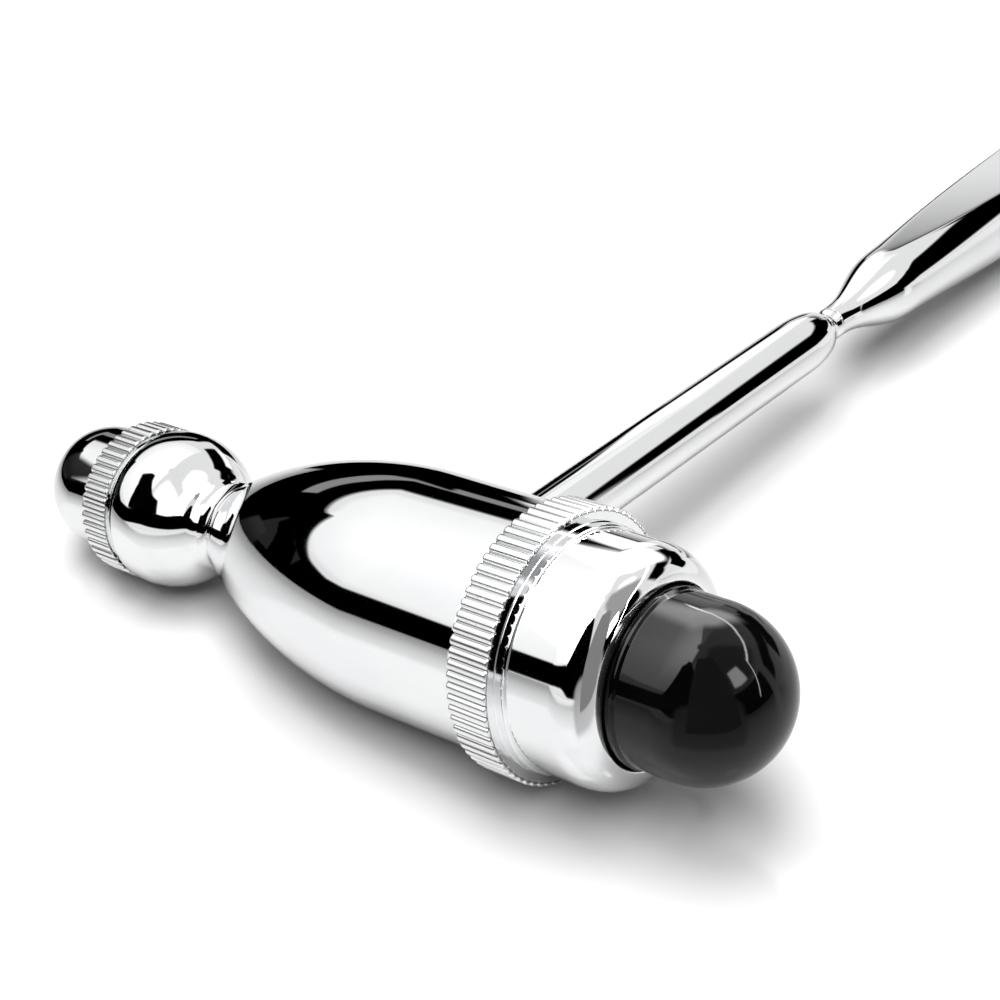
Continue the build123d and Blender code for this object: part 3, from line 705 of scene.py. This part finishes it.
# Cards and flags hang round the object as in any product studio. Each is a strip of directions seen from one
# point: (azimuth, lowest, highest) in degrees, the azimuth from X towards Y and the heights above the floor.
# Its glow goes from its lower to its upper edge, and soft is how many degrees its edges take to fade.
headPoint, bulbPoint, lipPoint, tipPoint = (-10, 0, 0), (-44, 0, 0), (31, -11, 5), (37, -2, 4)
shaftPoint, gripPoint = (0, 60, 0), (0, 115, 5)
cards = {
    "flagBack": {"glow": (0, 0), "soft": 1.5, "distance": 1.6, "seenFrom": headPoint, "strip": [
        (118, -3, 20), (128, -3, 28), (136, -3, 31), (178, -3, 32), (181, -3, 35), (190, -3, 30),
        (200, -3, 24), (210, -3, 18), (220, -3, 15), (236, -1, 17), (250, 3, 22), (262, 5, 26),
        (285, 4, 26), (300, 3, 24), (320, 2, 24), (350, -3, 28), (395, -3, 26)]},
    "barBack": {"glow": (0.25, 0.25), "soft": 1, "distance": 1.5, "seenFrom": headPoint, "strip": [
        (124, 10, 15), (130, 12, 18), (145, 15, 22), (163, 17, 23)]},
    "patchBack": {"glow": (0.018, 0.018), "soft": 1, "distance": 1.5, "seenFrom": headPoint, "strip": [
        (182, 4, 20), (190, 3, 21), (200, 4, 18), (209, 6, 14)]},
    "flagBulb": {"glow": (0, 0), "soft": 4, "distance": 0.02, "seenFrom": (-41, -6.5, 6.5), "strip": [
        (198, 52, 66), (210, 48, 74), (222, 42, 76), (230, 30, 74), (236, 8, 72), (255, 8, 64), (264, 8, 58),
        (274, 12, 50), (284, 14, 46), (294, 15, 42)]},
    "flagFront": {"glow": (0, 0), "soft": 2, "distance": 0.04, "seenFrom": lipPoint, "strip": [
        (250, 9, 13), (258, 5, 24), (264, 3, 38), (270, 0, 56), (276, -2, 71), (300, -3, 78), (318, 4, 76)]},
    "flagTip": {"glow": (0.22, 0.22), "soft": 2, "distance": 0.03, "seenFrom": tipPoint, "strip": [
        (288, -14, 72), (300, -14, 74), (330, -14, 74), (345, -10, 70)]},
    "flagUnder": {"glow": (0.6, 0.3), "soft": 9, "distance": 0.0305, "seenFrom": tipPoint, "strip": [
        (270, -34, 8), (280, -36, 18), (290, -36, 22), (345, -36, 22), (354, -30, 14)]},
    "flagNeck": {"glow": (0, 0), "soft": 3, "distance": 0.04, "seenFrom": (-39, 2, 8), "strip": [
        (64, 12, 36), (90, 12, 35), (109, 12, 31)]},
    "flagGrip": {"glow": (0, 0), "soft": 3, "distance": 0.09, "seenFrom": (4, 118, 3), "strip": [
        (14, 2, 32), (45, 2, 36), (58, 2, 38), (62, 9, 38), (73, 9, 40), (85, 9, 44), (108, 9, 42)]},
    "flagNear": {"glow": (0, 0), "soft": 2, "distance": 0.13, "seenFrom": headPoint, "strip": [
        (116, -7, 10), (130, -7, 8), (146, -7, 6)]},
    "lipGlow": {"glow": (0.75, 0.75), "soft": 4, "distance": 0.042, "seenFrom": lipPoint, "strip": [
        (316, -14, 22), (326, -14, 24), (342, -10, 24)]},
    "greyFront": {"glow": (0.75, 0.75), "soft": 5, "distance": 0.08, "seenFrom": lipPoint, "strip": [
        (300, 10, 80), (330, 14, 80), (352, 24, 80)]},
    "greySide": {"glow": (0.35, 0.35), "soft": 8, "distance": 0.075, "seenFrom": lipPoint, "strip": [
        (345, 20, 80), (380, 20, 80), (420, 30, 80)]},
    "flagRight": {"glow": (0, 0), "soft": 4, "distance": 1.6, "seenFrom": shaftPoint, "strip": [
        (40, 1, 24), (50, 5, 29), (60, 13, 31), (75, 13, 31), (90, 9, 31), (104, 0, 30)]},
    "softShaft": {"glow": (1.1, 1.1), "soft": 4, "distance": 0.095, "seenFrom": (0, 50, 2), "strip": [
        (104, 9.5, 42), (141, 9.5, 42)]},
    "greyRight": {"glow": (0.85, 0.0), "soft": 3, "distance": 0.08, "seenFrom": gripPoint, "strip": [
        (92, 8.5, 30), (150, 8.5, 30)]},
    "softAbove": {"glow": (0.97, 1.6), "soft": 3, "distance": 1.9, "seenFrom": headPoint, "strip": [
        (100, 36, 86), (125, 33, 86), (175, 33, 86), (205, 20, 86), (238, 14, 86), (262, 26, 86)]},
    "softBulb": {"glow": (1.3, 1.3), "soft": 7, "distance": 1.7, "seenFrom": bulbPoint, "strip": [
        (266, 38, 56), (274, 25, 68), (288, 18, 77), (306, 18, 77), (320, 25, 68), (330, 38, 56)]},
    "softBulbTop": {"glow": (1.3, 1.3), "soft": 6, "distance": 1.7, "seenFrom": bulbPoint, "strip": [
        (338, 48, 60), (352, 40, 70), (385, 38, 72), (410, 42, 68), (420, 48, 60)]},
    "darkSmall": {"glow": (0.01, 0.03), "soft": 7, "distance": 0.024, "seenFrom": (-60, -5, 5), "strip": [
        (176, 8, 44), (200, 8, 48), (230, 8, 48)]},
    "softLeft": {"glow": (2.2, 6.5), "soft": 2, "distance": 0.06, "seenFrom": tipPoint, "strip": [
        (120, 36, 84), (140, 40, 86), (165, 45, 86), (185, 44, 86), (210, 32, 86), (236, 19, 86),
        (264, 27, 86), (275, 27, 86)]},
    "softPatch": {"glow": (5.5, 7.5), "soft": 14, "distance": 0.045, "seenFrom": tipPoint, "strip": [
        (84, 20, 62), (105, 22, 66), (130, 24, 70), (160, 30, 76)]},
    "smallLamp": {"glow": (7.5, 7.5), "soft": 3, "distance": 0.032, "seenFrom": tipPoint, "strip": [
        (347, 28, 48), (358, 27, 49), (371, 28, 48)]},
    "lineSide": {"glow": (14, 14), "soft": 0.7, "distance": 0.035, "seenFrom": tipPoint, "strip": [
        (372, 5, 8), (378, 18, 21), (388, 38, 41.5), (405, 42, 45), (430, 45, 48), (450, 43.5, 46.5),
        (465, 41.5, 44.5), (480, 35.5, 38.5), (488, 28, 32)]},
}


def floorFrame(up):
    # three unit directions: CAD X laid flat on the floor, the floor's second direction, and straight up
    ahead = np.array([1.0, 0.0, 0.0]) - up * up[0]
    ahead = ahead / np.linalg.norm(ahead)
    return ahead, np.cross(up, ahead), up


def direction(azimuth, height):
    # unit vectors for arrays of angles in degrees: round the floor's two directions, then up by the height
    a, h = np.radians(azimuth)[..., None], np.radians(height)[..., None]
    ahead, aside, up = axes
    return np.cos(h) * (np.cos(a) * ahead + np.sin(a) * aside) + np.sin(h) * up


def cardMaterial(name):
    # the card's own glow, let through where its cover runs out at the edges
    material = bpy.data.materials.new(name)
    material.use_nodes = True
    nodes, links = material.node_tree.nodes, material.node_tree.links
    nodes.remove(nodes["Principled BSDF"])
    glow, clear = nodes.new("ShaderNodeEmission"), nodes.new("ShaderNodeBsdfTransparent")
    mix = nodes.new("ShaderNodeMixShader")
    for field, socket in (("glow", glow.inputs["Strength"]), ("cover", mix.inputs[0])):
        source = nodes.new("ShaderNodeAttribute")
        source.attribute_name = field
        links.new(source.outputs["Fac"], socket)
    links.new(clear.outputs[0], mix.inputs[1])
    links.new(glow.outputs[0], mix.inputs[2])
    links.new(mix.outputs[0], nodes["Material Output"].inputs["Surface"])
    return material


def hangCard(name, card, material):
    # the strip is filled in between its stations, so that it curves round the object, and its cover rises
    # from nothing at the edges to 1 within
    stations = np.array(card["strip"], float)
    azimuth = np.linspace(stations[0, 0], stations[-1, 0], studio["cardColumns"])
    low = np.interp(azimuth, stations[:, 0], stations[:, 1])
    high = np.interp(azimuth, stations[:, 0], stations[:, 2])
    share = np.linspace(0, 1, studio["cardRows"])[:, None]
    height = low + (high - low) * share
    grid = direction(azimuth + 0 * share, height) * card["distance"]
    points = grid.reshape(-1, 3) + np.array(card["seenFrom"]) * mm
    index = np.arange(len(points)).reshape(grid.shape[:2])
    quads = np.stack([index[:-1, :-1], index[:-1, 1:], index[1:, 1:], index[1:, :-1]], 2).reshape(-1, 4)
    mesh = bpy.data.meshes.new(name)
    mesh.from_pydata(points.tolist(), [], quads.tolist())
    inside = np.minimum(height - low, high - height)
    ends = np.minimum(azimuth - azimuth[0], azimuth[-1] - azimuth) * np.cos(np.radians(height))
    fields = {"glow": card["glow"][0] + (card["glow"][1] - card["glow"][0]) * smooth(share) + 0 * height,
              "cover": smooth(inside / card["soft"]) * smooth(ends / card["soft"])}
    for field, values in fields.items():
        store = mesh.attributes.new(field, "FLOAT", "POINT").data
        store.foreach_set("value", values.astype(np.float32).ravel())
    piece = bpy.data.objects.new(name, mesh)
    scene.collection.objects.link(piece)
    mesh.materials.append(material)
    piece.visible_camera = piece.visible_diffuse = piece.visible_shadow = False


def layFloor():
    # a wide plain disc through the object's resting points, with rings that stay fine near the object; for
    # the eye it glows a little, and more with distance, so that it runs into the white behind it
    s = studio
    radius = np.concatenate([[0.0], np.geomspace(s["innerRing"], s["floorRadius"], s["floorRings"])])
    angle = np.linspace(0, 360, s["floorSides"], endpoint=False)
    flat = direction(angle, 0 * angle)
    centre = np.mean(contacts, axis=0)
    points = centre + radius[:, None, None] * flat[None]
    index = np.arange(points.shape[0] * points.shape[1]).reshape(points.shape[:2])
    quads = np.stack([index[:-1], index[1:], np.roll(index[1:], -1, 1), np.roll(index[:-1], -1, 1)], 2)
    mesh = bpy.data.meshes.new("floor")
    mesh.from_pydata(points.reshape(-1, 3).tolist(), [], quads.reshape(-1, 4).tolist())
    mesh.validate()
    floor = bpy.data.objects.new("floor", mesh)
    scene.collection.objects.link(floor)
    material, nodes, links, shader = newMaterial("floorSheet")
    shader.inputs["Roughness"].default_value = s["floorRough"]
    shader.inputs["Specular IOR Level"].default_value = s["floorGloss"]
    shader.inputs["Emission Color"].default_value = (1, 1, 1, 1)
    path = nodes.new("ShaderNodeLightPath")
    links.new(remap(nodes, links, path.outputs["Is Camera Ray"], 0, 1, s["floorInMetal"], s["floorColour"]),
              shader.inputs["Base Color"])
    place = nodes.new("ShaderNodeTexCoord")
    apart = nodes.new("ShaderNodeVectorMath")
    apart.operation = "LENGTH"
    links.new(place.outputs["Object"], apart.inputs[0])
    evened = remap(nodes, links, apart.outputs["Value"], s["glowStart"], s["glowEnd"], s["floorGlow"],
                   s["farGlow"])
    glow = calculate(nodes, links, "MULTIPLY", path.outputs["Is Camera Ray"], evened)
    links.new(glow, shader.inputs["Emission Strength"])
    mesh.materials.append(material)


def lightWorld():
    # an even white all round: plain light for the object, full white for the eye and a little more for metal
    s = studio
    world = bpy.data.worlds.new("studio")
    world.use_nodes = True
    nodes, links = world.node_tree.nodes, world.node_tree.links
    path = nodes.new("ShaderNodeLightPath")
    eye = calculate(nodes, links, "MULTIPLY", path.outputs["Is Camera Ray"], s["toEye"])
    metal = calculate(nodes, links, "MULTIPLY", path.outputs["Is Glossy Ray"], s["toMetal"])
    total = calculate(nodes, links, "ADD", calculate(nodes, links, "ADD", eye, metal), s["world"])
    nodes["Background"].inputs["Color"].default_value = (1, 1, 1, 1)
    links.new(total, nodes["Background"].inputs["Strength"])
    scene.world = world


def hangLamp(name, sizes):
    # a broad round lamp turned towards the object; metal doesn't show it
    lamp = bpy.data.lights.new(name, "AREA")
    lamp.shape, lamp.size, lamp.energy = "DISK", sizes["size"], sizes["energy"]
    holder = bpy.data.objects.new(name, lamp)
    towards = Vector(direction(np.array(sizes["azimuth"]), np.array(sizes["height"])))
    holder.location = towards * sizes["distance"]
    holder.rotation_euler = towards.to_track_quat("Z", "Y").to_euler()
    holder.visible_glossy = False
    scene.collection.objects.link(holder)


scene.view_settings.view_transform = "Standard"
scene.cycles.caustics_reflective = False
axes = floorFrame(up)
cardGlow = cardMaterial("cardGlow")
for name, card in cards.items():
    hangCard(name, card, cardGlow)
layFloor()
lightWorld()
for name, sizes in lamps.items():
    hangLamp(name, sizes)
print("studio ready:", len(cards), "cards")
